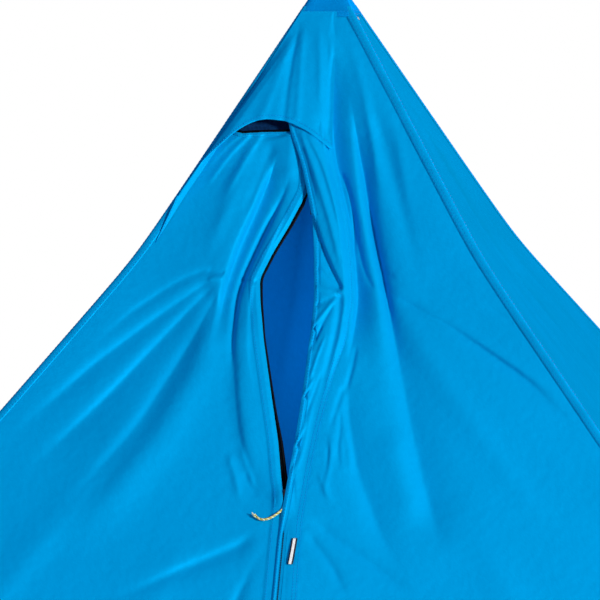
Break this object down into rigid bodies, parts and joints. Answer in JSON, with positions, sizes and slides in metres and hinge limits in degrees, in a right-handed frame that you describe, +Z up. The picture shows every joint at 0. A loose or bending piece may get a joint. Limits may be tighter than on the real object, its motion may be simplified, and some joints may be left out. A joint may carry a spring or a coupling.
{
  "type": "frame tent",
  "caption": "Single-peak square tent shell with a zipped front door, storm flap, hooded roof vent and an inner pair of sliding pole legs.",
  "frame": {"origin": "centre of the square footprint on the ground", "axes": "+Z up through the peak, the door faces -Y, +X to the right of someone facing the door"},
  "size_m": [2.319, 2.319, 1.4516],
  "materials": {
    "shell_cloth": "satin ripstop",
    "cap_cloth": "satin",
    "patch_cloth": "matte",
    "ridge_tape": "matte",
    "mesh_cloth": "open mesh",
    "black_tape": "matte",
    "zip_coil": "satin",
    "zip_metal": "satin black",
    "pull_cord": "twisted cord",
    "tab_weave": "woven, black edges",
    "webbing": "woven",
    "cup_plastic": "matte",
    "frame_plastic": "matte",
    "lever_plastic": "semi-gloss",
    "tube_metal": "anodised",
    "pin_steel": "brushed",
    "tip_rubber": "matte"
  },
  "bodies": {
    "canopy": {"back_panel": "shell_cloth", "left_panel": "shell_cloth", "right_panel": "shell_cloth", "front_left_panel": "shell_cloth", "front_right_panel": "shell_cloth", "vent_hood": "shell_cloth", "storm_flap_top": "shell_cloth", "hem_binding": "shell_cloth", "peak_cap": "cap_cloth", "peak_cup": "cup_plastic", "apex_hub": "frame_plastic", "vent_mesh": "mesh_cloth", "vent_trim": "shell_cloth", "zip_tape_left": "black_tape", "zip_tape_right": "black_tape", "zip_coil_left": "zip_coil", "zip_coil_right": "zip_coil", "zip_top_stop": "zip_metal", "zip_bottom_stop": "black_tape", "tieback_patch_left": "patch_cloth", "tieback_patch_right": "patch_cloth", "ridge_tape_fl": "ridge_tape", "corner_loop_fl": "webbing", "ridge_tape_fr": "ridge_tape", "corner_loop_fr": "webbing", "ridge_tape_bl": "ridge_tape", "corner_loop_bl": "webbing", "ridge_tape_br": "ridge_tape", "corner_loop_br": "webbing"},
    "door": {"door_panel": "shell_cloth", "door_hem": "shell_cloth", "door_tape": "black_tape", "door_coil": "zip_coil", "door_coil_upper": "zip_coil", "storm_flap": "shell_cloth", "flap_tab": "tab_weave"},
    "lower_slider": {"lower_slider": "zip_metal", "lower_outer_pull": "zip_metal", "pull_cord": "pull_cord", "cord_knot": "pull_cord"},
    "upper_slider": {"upper_slider": "zip_metal", "upper_outer_pull": "zip_metal"},
    "lower_pull": {"lower_inner_pull": "zip_metal"},
    "upper_pull": {"upper_inner_pull": "zip_metal"},
    "leg_left": {"leg_yoke_left": "frame_plastic", "hub_pin_left": "pin_steel", "upper_tube_left": "tube_metal", "clamp_body_left": "frame_plastic", "lever_pin_left": "pin_steel"},
    "lever_left": {"clamp_lever_left": "lever_plastic"},
    "foot_left": {"lower_tube_left": "tube_metal", "foot_tip_left": "tip_rubber"},
    "leg_right": {"leg_yoke_right": "frame_plastic", "hub_pin_right": "pin_steel", "upper_tube_right": "tube_metal", "clamp_body_right": "frame_plastic", "lever_pin_right": "pin_steel"},
    "lever_right": {"clamp_lever_right": "lever_plastic"},
    "foot_right": {"lower_tube_right": "tube_metal", "foot_tip_right": "tip_rubber"}
  },
  "joints": [
    {"name": "lower_slider_travel", "type": "slide", "parent": "canopy", "child": "lower_slider", "axis": [0, -0.6268, -0.7792], "range_m": [0, 1.06]},
    {"name": "upper_slider_travel", "type": "slide", "parent": "canopy", "child": "upper_slider", "axis": [0, 0.5206, 0.8538], "range_m": [0, 0.034]},
    {"name": "lower_pull_swing", "type": "hinge", "parent": "lower_slider", "child": "lower_pull", "pos_m": [0, -0.41066, 0.87555], "axis": [1, 0, 0], "range_deg": [-28, 110]},
    {"name": "upper_pull_swing", "type": "hinge", "parent": "upper_slider", "child": "upper_pull", "pos_m": [0, -0.15336, 1.21414], "axis": [1, 0, 0], "range_deg": [-22, 110]},
    {"name": "door_swing", "type": "hinge", "parent": "canopy", "child": "door", "pos_m": [0, -0.24992, 1.10202], "axis": [-0.6129, 0.4953, 0.6157], "range_deg": [0, 150]},
    {"name": "leg_fold_right", "type": "hinge", "parent": "canopy", "child": "leg_right", "pos_m": [0.015, 0, 1.385], "axis": [0, 1, 0], "range_deg": [0, 27.18]},
    {"name": "leg_length_right", "type": "slide", "parent": "leg_right", "child": "foot_right", "axis": [-0.4568, 0, 0.8896], "range_m": [0, 0.3]},
    {"name": "lever_open_right", "type": "hinge", "parent": "leg_right", "child": "lever_right", "pos_m": [0.42382, 0, 0.63042], "axis": [0, 1, 0], "range_deg": [0, 110]},
    {"name": "leg_fold_left", "type": "hinge", "parent": "canopy", "child": "leg_left", "pos_m": [-0.015, 0, 1.385], "axis": [0, -1, 0], "range_deg": [0, 27.18]},
    {"name": "leg_length_left", "type": "slide", "parent": "leg_left", "child": "foot_left", "axis": [0.4568, 0, 0.8896], "range_m": [0, 0.3]},
    {"name": "lever_open_left", "type": "hinge", "parent": "leg_left", "child": "lever_left", "pos_m": [-0.42382, 0, 0.63042], "axis": [0, -1, 0], "range_deg": [0, 110]}
  ]
}
